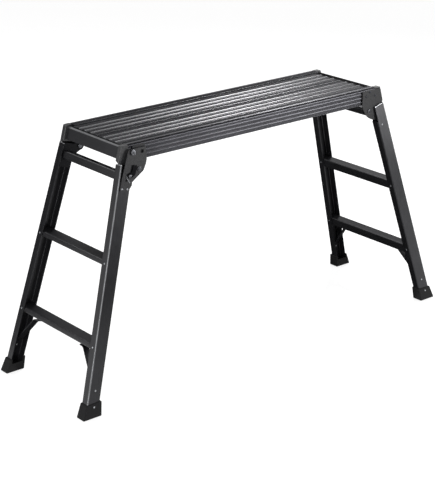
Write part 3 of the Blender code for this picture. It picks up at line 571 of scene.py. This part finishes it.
def copies(shape, places):
    """The shape repeated at each place, as one mesh."""
    pattern = bpy.data.meshes.new("pattern")
    shape.to_mesh(pattern)
    shape.free()
    group = bmesh.new()
    for place in places:
        before = len(group.verts)
        group.from_mesh(pattern)
        group.verts.ensure_lookup_table()
        bmesh.ops.transform(group, matrix=place, verts=group.verts[before:])
    bpy.data.meshes.remove(pattern)
    return group


def rivet(shank):
    """Domed rivet on the XY plane, its shank going down."""
    return turned([(0, RIVET_TALL, 0), (RIVET_HEAD * RIVET_CROWN, RIVET_TALL, 1.5),
                   (RIVET_HEAD, RIVET_TALL * RIVET_RIM, 0.8), (RIVET_HEAD, 0, 0), (RIVET_SHANK, 0, 0),
                   (RIVET_SHANK, -shank, 0), (0, -shank, 0)])


def standing(point, out):
    """Place whose Z points out from a surface, at a point in millimetres."""
    turn = Vector(out).to_track_quat("Z", "Y").to_matrix().to_4x4()
    return Matrix.Translation(Vector(point) * MM) @ turn


rivet_finish = plated("blackened_steel", "#2c2d30", "#45464a", 0.3)
for face, sign in FACES:
    for number, (out, up) in enumerate(BRACKET_RIVETS, 1):
        name = "right_" + face + "_bracket_rivet_" + str(number)
        spot = standing((pivot.x + out, sign * BRACKET_FACE, pivot.z + up), (0, sign, 0))
        stands_for = [name] if name in frame["nodes"] else []
        dome = copies(rivet(BRACKET_SHANK), [spot])
        piece(name + "_dome", dome, rivet_finish, "deck", stands_for, edge=0)


# Leg channels: four folded aluminium channels, open towards the middle, which splay along the deck and
# lean out across it. A thin pale highlight is painted along each outer fold, and a pale band along the cut
# tops.
LEAN = math.radians(4.98)
STILE_OFFSET = 19.4
STILE_DEPTH = 44.1
STILE_WIDTH = 26.3
STILE_WALL = 2.2
STILE_BEND = 3.6
STILE_EDGE = 0.25
STILE_TOP = 5
STILE_GROUND = 10
CUT_EDGE = 1.8
WEB_Y = 159.4
NOTCHES = {"left": -45, "right": -48}
STILE_IN = STILE_OFFSET + STILE_WALL + FIT
STILE_OUT = STILE_OFFSET + STILE_DEPTH - STILE_WALL - FIT
STILE_MID = STILE_OFFSET + STILE_DEPTH / 2
PIVOT_Z = pivots["left_leg_frame"].z
LEG_LENGTH = PIVOT_Z / math.cos(SPLAY)


def leg_place(word, side):
    """Leg directions, x outward from the pivot and z up along the leg, in the deck's frame."""
    turn = Matrix.Rotation(math.pi if side < 0 else 0, 4, "Z") @ Matrix.Rotation(-SPLAY, 4, "Y")
    return Matrix.Translation(pivots[word + "_leg_frame"] * MM) @ turn


def corner_place(word, side, sign):
    """Leg directions at one channel: y is zero on the outer face of its web."""
    way = sign * side
    lean = Matrix.Translation((0, way * WEB_Y * MM, 0)) @ Matrix.Rotation(way * LEAN, 4, "X")
    return leg_place(word, side) @ lean


def above_floor(x, height):
    """Leg z of a height above the floor, at x out from the pivot."""
    return (height - PIVOT_Z - x * math.sin(SPLAY)) / math.cos(SPLAY)


leg_finish = {}
for word, side in SIDES:
    grain = (0, -(math.pi / 2 + side * SPLAY), 0)
    name = "black_anodised_aluminium_leg_" + word
    leg_finish[word] = anodised(name, "#252528", "#303033", 0.45, 0.3, grain)
    for face, sign in FACES:
        way = sign * side
        far = STILE_OFFSET + STILE_DEPTH
        path = [(STILE_OFFSET, -way * STILE_WIDTH), (STILE_OFFSET, 0), (far, 0), (far, -way * STILE_WIDTH)]
        stile = folded(path, STILE_BEND, above_floor(STILE_OFFSET, STILE_GROUND), STILE_TOP)
        notch = NOTCHES[word] * MM
        highlight_top = (STILE_TOP - CUT_EDGE) * MM
        for level in (notch, highlight_top):
            bmesh.ops.bisect_plane(stile, geom=stile.verts[:] + stile.edges[:] + stile.faces[:], dist=WELD,
                                   plane_co=(0, 0, level), plane_no=(0, 0, 1))
        # The outer fold gets the painted highlight, and the band above the cut level is painted pale too.
        rub(stile, (far, 0), STILE_BEND, STILE_TOP - CUT_EDGE)
        keep_from = (STILE_OFFSET + STILE_BEND if side > 0 else far - STILE_BEND) * MM
        cut_away = [part for part in stile.faces
                    if part.calc_center_median().z > notch and part.calc_center_median().x < keep_from]
        bmesh.ops.delete(stile, geom=cut_away, context="FACES")
        bmesh.ops.transform(stile, matrix=corner_place(word, side, sign), verts=stile.verts)
        name = word + "_" + face + "_stile"
        piece(name + "_channel", stile, leg_finish[word], word + "_leg_frame", [name],
              edge=STILE_EDGE, wall=STILE_WALL)


# Rungs: two aluminium tubes in each leg frame, with level treads and a deep inner face, set into the
# channels and riveted through their flanges.
RUNGS = {"left": (0.7146, 0.3731), "right": (0.7215, 0.3792)}
LEVELS = ("lower", "upper")
RUNG_OUTER = 15
RUNG_INNER = 34
RUNG_WALL = 2
RUNG_ROUND = 4
CORNER_WALL = 1.3 * RUNG_WALL
TOE_WALL = 2.2 * RUNG_WALL
CORE_ROUND = 2
rung_finish = anodised("black_anodised_aluminium_rung", "#242427", "#2e2e31", 0.4, 0.36, ACROSS_GRAIN)
rung_fall = (STILE_OUT - STILE_IN) / 2 * math.tan(SPLAY)
rung_face = [(STILE_IN, rung_fall, RUNG_ROUND), (STILE_IN, rung_fall - RUNG_INNER, RUNG_ROUND)]
rung_face += [(STILE_OUT, -rung_fall - RUNG_OUTER, RUNG_ROUND), (STILE_OUT, -rung_fall, RUNG_ROUND)]
core_in, core_out = STILE_IN + RUNG_WALL, STILE_OUT - RUNG_WALL
rung_core = [(core_in, rung_fall - CORNER_WALL, CORE_ROUND)]
rung_core += [(core_in, rung_fall - RUNG_INNER + TOE_WALL, CORE_ROUND)]
rung_core += [(core_out, -rung_fall - RUNG_OUTER + CORNER_WALL, CORE_ROUND)]
rung_core += [(core_out, -rung_fall - RUNG_WALL, CORE_ROUND)]


def web_inner(z):
    """Distance from the middle plane to the inner face of a channel web, at leg height z."""
    return WEB_Y - z * math.tan(LEAN) - STILE_WALL / math.cos(LEAN)


for word, side in SIDES:
    for level, share in zip(LEVELS, RUNGS[word]):
        height = -share * LEG_LENGTH
        place = leg_place(word, side) @ Matrix.Translation((0, 0, height * MM)) @ ALONG_Y
        tube = drawn_out(section(rung_face, rung_core), 2 * (web_inner(height + rung_fall) - FIT), place)
        name = word + "_" + level + "_rung"
        piece(name + "_tube", tube, rung_finish, word + "_leg_frame", [name])


# Spreaders: round-cornered aluminium tubes, anodised like the rungs. Each ties the two hinges of a leg
# frame together, just under the deck.
SPREADER_Z = -31
SPREADER_HALF = (14.5, 13.25)
SPREADER_WALL = 2
SPREADER_ROUND = 6
SPREADER_LENGTH = 274.8
for word, side in SIDES:
    wide, tall = SPREADER_HALF
    outside = oblong((STILE_MID, 0), wide, tall, SPREADER_ROUND)
    core = oblong((STILE_MID, 0), wide - SPREADER_WALL, tall - SPREADER_WALL,
                  SPREADER_ROUND - SPREADER_WALL)
    place = leg_place(word, side) @ Matrix.Translation((0, 0, SPREADER_Z * MM)) @ ALONG_Y
    piece(word + "_spreader_tube", drawn_out(section(outside, core), SPREADER_LENGTH, place), rung_finish,
          word + "_leg_frame", [word + "_spreader"])


# Knee braces: straps of aluminium bent twice, from under each lower rung to the inside of the channel.
# Their ends are rounded off and riveted on.
BRACE_WIDTH = 22
BRACE_THICK = 3
BRACE_REACH = 74
BRACE_TAB = 20
BRACE_FALL = 0.1347
BRACE_BEND = 7
BRACE_CORNER = 5
rung_low = rung_fall - RUNG_INNER
rung_slope = (RUNG_INNER - RUNG_OUTER - 2 * rung_fall) / (STILE_OUT - STILE_IN)
brace_seat = rung_low + rung_slope * (STILE_MID - BRACE_WIDTH / 2 - STILE_IN) - FIT - BRACE_THICK / 2
brace_gap = FIT / math.cos(LEAN) + BRACE_THICK / 2
brace_low = {}
for word, side in SIDES:
    seat = -RUNGS[word][0] * LEG_LENGTH + brace_seat
    low = seat - BRACE_FALL * LEG_LENGTH
    bend = web_inner(seat) - BRACE_REACH
    brace_low[word] = (low, seat, bend)
    for face, sign in FACES:
        way = sign * side
        path = [(bend - BRACE_TAB, seat), (bend, seat), (web_inner(low) - brace_gap, low)]
        path += [(web_inner(low - BRACE_TAB) - brace_gap, low - BRACE_TAB)]
        strap = folded([(way * y, z) for y, z in path], BRACE_BEND, -BRACE_WIDTH / 2, BRACE_WIDTH / 2)
        corners = [spot for spot in strap.verts if len(spot.link_edges) == 2]
        bmesh.ops.bevel(strap, geom=corners, offset=BRACE_CORNER * MM, offset_type="OFFSET",
                        segments=CORNER_STEPS, profile=0.5, affect="VERTICES", material=-1)
        place = leg_place(word, side) @ Matrix.Translation((STILE_MID * MM, 0, 0)) @ ALONG_DECK
        bmesh.ops.transform(strap, matrix=place, verts=strap.verts)
        name = word + "_" + face + "_knee_brace"
        piece(name + "_strap", strap, leg_finish[word], word + "_leg_frame", [name],
              wall=BRACE_THICK, middle=0)


# Feet: boots of moulded black rubber with a fine grain. The channels stand in them, and their soles lie
# level on the floor.
FOOT_EDGE = 0.8
foot_finish = moulded("moulded_rubber", "#121213", "#1e1e1f", 0.75, 0.25)
for word, side in SIDES:
    for face, sign in FACES:
        soften(word + "_" + face + "_foot", FOOT_EDGE, foot_finish)


# Leg rivets: small domed rivets of zinc plated steel. They hold the rungs and braces in the channels, the
# boots on them, and the channel tops to the hinges.
BOOT_FACE = 4.7
BOOT_RIVET = 30
BRACE_RIVET = 13
LEG_SHANK = 2
FLANGE_MID = 14
LEG_RIVET_SHARE = 0.6
PLATE_FACE = 3.3
TOP_RIVETS = {"left": ((51.6, -63.7), (31.5, -62.6)), "right": ((36, -64),)}
TOP_RIVET_SEAT = {"left": PLATE_FACE, "right": 0}
bright_finish = plated("zinc_plated_steel", "#85878b", "#b2b4b8", 0.3)
for word, side in SIDES:
    spots = []
    for face, sign in FACES:
        way = sign * side
        corner = corner_place(word, side, sign)
        far = STILE_OFFSET + STILE_DEPTH
        for share in RUNGS[word]:
            height = -share * LEG_LENGTH
            outer = (far, -way * FLANGE_MID, height - rung_fall - RUNG_OUTER / 2)
            inner = (STILE_OFFSET, -way * FLANGE_MID, height + rung_fall - RUNG_INNER / 2)
            spots += [corner @ standing(outer, (1, 0, 0)), corner @ standing(inner, (-1, 0, 0))]
        low, seat, bend = brace_low[word]
        spots += [corner @ standing((STILE_MID, 0, low - BRACE_RIVET), (0, way, 0))]
        inside = -way * (STILE_WALL + FIT + BRACE_THICK)
        spots += [corner @ standing((STILE_MID, inside, low - BRACE_RIVET), (0, -way, 0))]
        tab = (STILE_MID, way * (bend - BRACE_TAB / 2), seat - BRACE_THICK / 2)
        spots += [leg_place(word, side) @ standing(tab, (0, 0, -1))]
        boot = (STILE_MID, way * BOOT_FACE, above_floor(STILE_MID, BOOT_RIVET))
        spots += [corner @ standing(boot, (0, way, 0))]
        top_seat = way * TOP_RIVET_SEAT[word]
        spots += [corner @ standing((x, top_seat, z), (0, way, 0)) for x, z in TOP_RIVETS[word]]
    small = Matrix.Scale(LEG_RIVET_SHARE, 4)
    heads = copies(rivet(LEG_SHANK), [spot @ small for spot in spots])
    piece(word + "_leg_rivets", heads, bright_finish, word + "_leg_frame", edge=0)


# Knuckles: thick hinge blocks of dull black aluminium inside the channel tops, painted darker than the
# other aluminium as the shade they sit in. An ear on each goes round the pivot pin.
KNUCKLE_EDGE = 0.6
# Painted shade: the knuckles' colour is darker than the other black aluminium.
knuckle_shade_finish = anodised("black_anodised_aluminium_knuckle_shaded", "#141416", "#1e1e20", 0.9, 0.5, DECK_GRAIN)
for word, side in SIDES:
    for face, sign in FACES:
        soften(word + "_" + face + "_knuckle", KNUCKLE_EDGE, knuckle_shade_finish)


# Hinge plates: 3 mm steel plates outside the left channels, powder coated like the brackets. A bright
# strip of spring steel is hooked in the square hole of each and presses on the lock lever.
SPRING_PATH = ((41, -26), (39, -33), (26.6, -43.9))
SPRING_WIDTH = 2.4
SPRING_THICK = 1.2
SPRING_BEND = 2
THIN_EDGE = 0.2
for face, sign in FACES:
    soften("left_" + face + "_hinge_plate", PLATE_EDGE, plate_finish)
    way = -sign
    strip = folded(SPRING_PATH, SPRING_BEND, -SPRING_WIDTH / 2, SPRING_WIDTH / 2)
    seat = Matrix.Translation((0, way * (PLATE_FACE + SPRING_WIDTH / 2) * MM, 0)) @ ALONG_Y
    bmesh.ops.transform(strip, matrix=corner_place("left", -1, sign) @ seat, verts=strip.verts)
    piece("left_" + face + "_lock_spring", strip, bright_finish, "left_leg_frame",
          edge=THIN_EDGE, wall=SPRING_THICK, middle=0)


# Stop bolts: socket-head steel bolts in the tops of the left hinge plates. Their shanks meet the brackets'
# edges and stop the leg. The heads are turned, and the hexagon for the key is pressed in.
BOLT_SPOT = (31.9, 44.4)
BOLT_RADIUS = 4
BOLT_HEAD = 8.5
BOLT_TALL = 5
BOLT_REACH = 3.5
BOLT_SOCKET = 4.6
BOLT_RIM = 5.6
BOLT_DEEP = 4.4
KEY_SIDES = 6
pin_finish = plated("polished_black_steel", "#4c4d50", "#6e6f73", 0.22)
for face, sign in FACES:
    seat = PLATE_FACE + FIT
    crown = seat + BOLT_TALL
    bolt = turned([(BOLT_RIM, crown, 0), (BOLT_HEAD, crown, 1.4), (BOLT_HEAD, seat, 0.4),
                   (BOLT_RADIUS, seat, 0), (BOLT_RADIUS, -BOLT_REACH, 0.6), (0, -BOLT_REACH, 0)])
    rim = [edge for edge in bolt.edges if edge.is_boundary]
    middle = Matrix.Translation((0, 0, crown * MM))
    key = bmesh.ops.create_circle(bolt, segments=KEY_SIDES, radius=BOLT_SOCKET * MM, matrix=middle)["verts"]
    mouth = [edge for edge in bolt.edges if all(spot in key for spot in edge.verts)]
    bmesh.ops.bridge_loops(bolt, edges=rim + mouth)
    grown = bmesh.ops.extrude_edge_only(bolt, edges=mouth)["geom"]
    floor_spots = [part for part in grown if isinstance(part, bmesh.types.BMVert)]
    bmesh.ops.translate(bolt, verts=floor_spots, vec=(0, 0, -BOLT_DEEP * MM))
    bmesh.ops.edgeloop_fill(bolt, edges=[edge for edge in bolt.edges if edge.is_boundary])
    bmesh.ops.recalc_face_normals(bolt, faces=bolt.faces)
    way = -sign
    place = corner_place("left", -1, sign) @ standing((BOLT_SPOT[0], 0, BOLT_SPOT[1]), (0, way, 0))
    name = "left_" + face + "_stop_bolt"
    piece(name + "_head", copies(bolt, [place]), pin_finish, "left_leg_frame", [name],
          edge=THIN_EDGE)


# Pivot pins: turned steel pins that join the leg frames to the brackets, with a low head at each end. The
# left ones also carry a collar under the hinge plate.
PIN_RADIUS = 5
PIN_HEAD = 7.5
PIN_TALL = 2.8
KNUCKLE_IN = 137.7
pin_tilt = PIN_HEAD * math.sin(LEAN)
inner_end = KNUCKLE_IN - FIT
pin_back = [(PIN_RADIUS, inner_end, 0), (PIN_HEAD, inner_end, 0), (PIN_HEAD, inner_end - PIN_TALL, 1),
            (0, inner_end - PIN_TALL, 0)]
for word, side in SIDES:
    bracket_seat = BRACKET_FACE + FIT
    head_low = bracket_seat
    collar = []
    if side < 0:
        head_low = WEB_Y + PLATE_FACE / math.cos(LEAN) + pin_tilt + FIT
        collar_top = WEB_Y + FIT - 2 * pin_tilt
        collar = [(PIN_RADIUS, collar_top, 0), (PIN_HEAD, collar_top, 0.4), (PIN_HEAD, bracket_seat, 0.4)]
        collar += [(PIN_RADIUS, bracket_seat, 0)]
    pin_line = [(0, head_low + PIN_TALL, 0), (PIN_HEAD, head_low + PIN_TALL, 2), (PIN_HEAD, head_low, 0.3)]
    pin_line += [(PIN_RADIUS, head_low, 0), *collar, *pin_back]
    for face, sign in FACES:
        place = leg_place(word, side) @ standing((0, 0, 0), (0, sign * side, 0))
        name = word + "_" + face + "_pivot_pin"
        pin = copies(turned(pin_line), [place])
        piece(name + "_turned", pin, pin_finish, word + "_leg_frame", [name],
              edge=THIN_EDGE)


# Lock levers: small blackened steel levers that hold the legs open. The left ones swing on the hinge
# plates and the right ones inside the knuckles.
LEVER_EDGE = 0.8
lever_finish = plated("blackened_spring_steel", "#0b0b0c", "#161618", 0.32)
for word, side in SIDES:
    for face, sign in FACES:
        soften(word + "_" + face + "_lock_lever", LEVER_EDGE, lever_finish)


# Lever pins: shouldered pins of polished black steel that the lock levers turn on. The left ones go
# through the hinge plates, and the right ones stand on the knuckles.
LEVER_THICK = 4
LEVER_PIN = 3
LEVER_PIN_HEAD = 5
LEVER_PIN_TALL = 2
LEVER_SPOTS = {"left": (33, PLATE_FACE + FIT, -24), "right": (52, KNUCKLE_IN - FIT, -6)}
LEVER_PIN_DEEP = {"left": FIT + PLATE_THICK, "right": 0}
lever_top = LEVER_THICK + 2 * FIT
for word, side in SIDES:
    low = -LEVER_PIN_DEEP[word]
    pin_line = [(0, lever_top + LEVER_PIN_TALL, 0), (LEVER_PIN_HEAD, lever_top + LEVER_PIN_TALL, 1.4)]
    pin_line += [(LEVER_PIN_HEAD, lever_top, 0.2), (LEVER_PIN, lever_top, 0), (LEVER_PIN, low, 0)]
    pin_line += [(0, low, 0)]
    x, y, z = LEVER_SPOTS[word]
    for face, sign in FACES:
        way = sign * side
        holder = corner_place(word, side, sign) if side < 0 else leg_place(word, side)
        place = holder @ standing((x, way * y, z), (0, -side * way, 0))
        name = word + "_" + face + "_lever_pin"
        pin = copies(turned(pin_line), [place])
        piece(name + "_turned", pin, pin_finish, word + "_leg_frame", [name],
              edge=THIN_EDGE)


# Studio floor: a wide matt white sheet. The camera and mirror-like rays see it lit up to white, and
# it still takes the platform's soft shadow.
FLOOR_HALF = 14
FLOOR_GLOW = 0.8


def glow_for_view(tree):
    """One where a camera, glossy or transmission ray looks, zero for the light on the platform."""
    path = node(tree, "LightPath").outputs
    direct = {0: path["Is Camera Ray"], 1: path["Is Glossy Ray"]}
    seen = node(tree, "Math", direct, operation="MAXIMUM").outputs[0]
    return node(tree, "Math", {0: seen, 1: path["Is Transmission Ray"]}, operation="MAXIMUM").outputs[0]


sheet = bmesh.new()
bmesh.ops.create_grid(sheet, x_segments=1, y_segments=1, size=FLOOR_HALF)
floor_mesh = bpy.data.meshes.new("studio_floor")
sheet.to_mesh(floor_mesh)
sheet.free()
paper = bpy.data.materials.new("matt_white_paper")
paper.use_nodes = True
tree = paper.node_tree
shader = tree.nodes["Principled BSDF"]
shader.inputs["Base Color"].default_value = linear("#c4c4c4")
shader.inputs["Roughness"].default_value = 0.9
shader.inputs["Specular IOR Level"].default_value = 0.1
shader.inputs["Emission Color"].default_value = (1, 1, 1, 1)
lift = node(tree, "Math", {0: glow_for_view(tree), 1: FLOOR_GLOW}, operation="MULTIPLY").outputs[0]
tree.links.new(lift, shader.inputs["Emission Strength"])
floor_mesh.materials.append(paper)
floor = bpy.data.objects.new("studio_floor", floor_mesh)
bpy.context.scene.collection.objects.link(floor)


# Studio air: an even pale surround. It lights the platform softly, and looks white to the camera and in
# the metal.
AIR_LIGHT = 0.3
world = bpy.data.worlds.new("studio_air")
bpy.context.scene.world = world
world.use_nodes = True
tree = world.node_tree
air = tree.nodes["Background"]
air.inputs["Color"].default_value = (1, 1, 1, 1)
strength = node(tree, "MapRange", {"Value": glow_for_view(tree), "To Min": AIR_LIGHT, "To Max": 1})
tree.links.new(strength.outputs["Result"], air.inputs["Strength"])


# Cloth cards: dark cloth hung behind the platform and laid on the floor round it, out of the camera's
# sight. Black metal mirrors them, so that its level and front faces stay dark between the bright lines.
DARK_CLOTH = "#161616"
GREY_CLOTH = "#303030"
LAID = 0.004


def card(name, place, aim, width, height, shade):
    """Cloth rectangle that only mirror-like rays see, facing its aim."""
    cloth = bpy.data.materials.new("cloth_" + name)
    cloth.use_nodes = True
    shader = cloth.node_tree.nodes["Principled BSDF"]
    shader.inputs["Base Color"].default_value = linear(shade)
    shader.inputs["Roughness"].default_value = 0.95
    shader.inputs["Specular IOR Level"].default_value = 0
    sheet = bmesh.new()
    bmesh.ops.create_grid(sheet, x_segments=1, y_segments=1, size=0.5)
    bmesh.ops.scale(sheet, vec=(width, height, 1), verts=sheet.verts)
    turn = (Vector(aim) - Vector(place)).to_track_quat("Z", "Y").to_matrix().to_4x4()
    bmesh.ops.transform(sheet, matrix=Matrix.Translation(place) @ turn, verts=sheet.verts)
    mesh = bpy.data.meshes.new(name)
    sheet.to_mesh(mesh)
    sheet.free()
    mesh.materials.append(cloth)
    made = bpy.data.objects.new(name, mesh)
    made.visible_camera = False
    made.visible_diffuse = False
    made.visible_shadow = False
    bpy.context.scene.collection.objects.link(made)


card("back_card", (2.6, 3.2, 1.5), (0, 0, 1.5), 6, 3, DARK_CLOTH)
card("under_card", (0.9, 1.6, LAID), (0.9, 1.6, 1), 3.2, 3.6, GREY_CLOTH)
card("front_card", (-0.3, -1.5, LAID), (-0.3, -1.5, 1), 1.8, 1, DARK_CLOTH)
card("outer_card", (0.4, -2.9, LAID), (0.4, -2.9, 1), 1.6, 1.8, DARK_CLOTH)
card("right_card", (2.7, -2.05, LAID), (2.7, -2.05, 1), 1.9, 2.5, DARK_CLOTH)
card("far_card", (1.6, -4, 0.75), (0, 0, 0.75), 4, 1.5, DARK_CLOTH)
card("leg_card", (-0.72, 0.6, 0.45), (-0.72, -1, 0.45), 0.62, 1, DARK_CLOTH)


# Softboxes: one high behind the deck for the ribs, one low in front for the ridges of the rail, a strip at
# the left for the channels' folded edges, and a small one behind for the lips of the deck's ends.
def softbox(name, place, aim, width, height, glare):
    """Lamp of a given brightness; its power follows from its size."""
    lamp = bpy.data.lights.new(name, "AREA")
    lamp.shape = "RECTANGLE"
    lamp.size = width
    lamp.size_y = height
    lamp.energy = glare * math.pi * width * height
    made = bpy.data.objects.new(name, lamp)
    made.location = place
    made.rotation_euler = (Vector(aim) - Vector(place)).to_track_quat("-Z", "Y").to_euler()
    made.visible_camera = False
    bpy.context.scene.collection.objects.link(made)


softbox("rib_softbox", (1.93, 1.4, 2.77), (0.05, 0, 0.77), 0.45, 0.7, 54)
softbox("side_softbox", (2.1, -2.63, 0.7), (0.1, -0.15, 0.75), 1, 0.9, 12.5)
softbox("edge_softbox", (-3.2, -1.6, 0.7), (-0.6, -0.2, 0.4), 0.35, 1.6, 18)
softbox("lip_softbox", (-1.34, 2.43, 2.66), (-0.5, 0, 0.77), 0.6, 0.5, 12)


# Camera: at the photograph's place and viewing angle, with a long lens. It has a very small roll, and its
# frame is taken to be 435 by 495.
CAMERA_PLACE = (-2.9047, -3.5116, 2.0246)
CAMERA_LOOK = (0.5903, 0.7251, -0.3545)
CAMERA_ROLL = math.radians(-0.33)
CAMERA_LENS = 109.46
camera_data = bpy.data.cameras.new("camera")
camera_data.lens = CAMERA_LENS
camera = bpy.data.objects.new("camera", camera_data)
camera.location = CAMERA_PLACE
aim = Vector(CAMERA_LOOK).to_track_quat("-Z", "Y").to_matrix().to_4x4()
camera.rotation_euler = (aim @ Matrix.Rotation(CAMERA_ROLL, 4, "Z")).to_euler()
bpy.context.scene.collection.objects.link(camera)
bpy.context.scene.camera = camera
bpy.context.scene.view_settings.view_transform = "Standard"
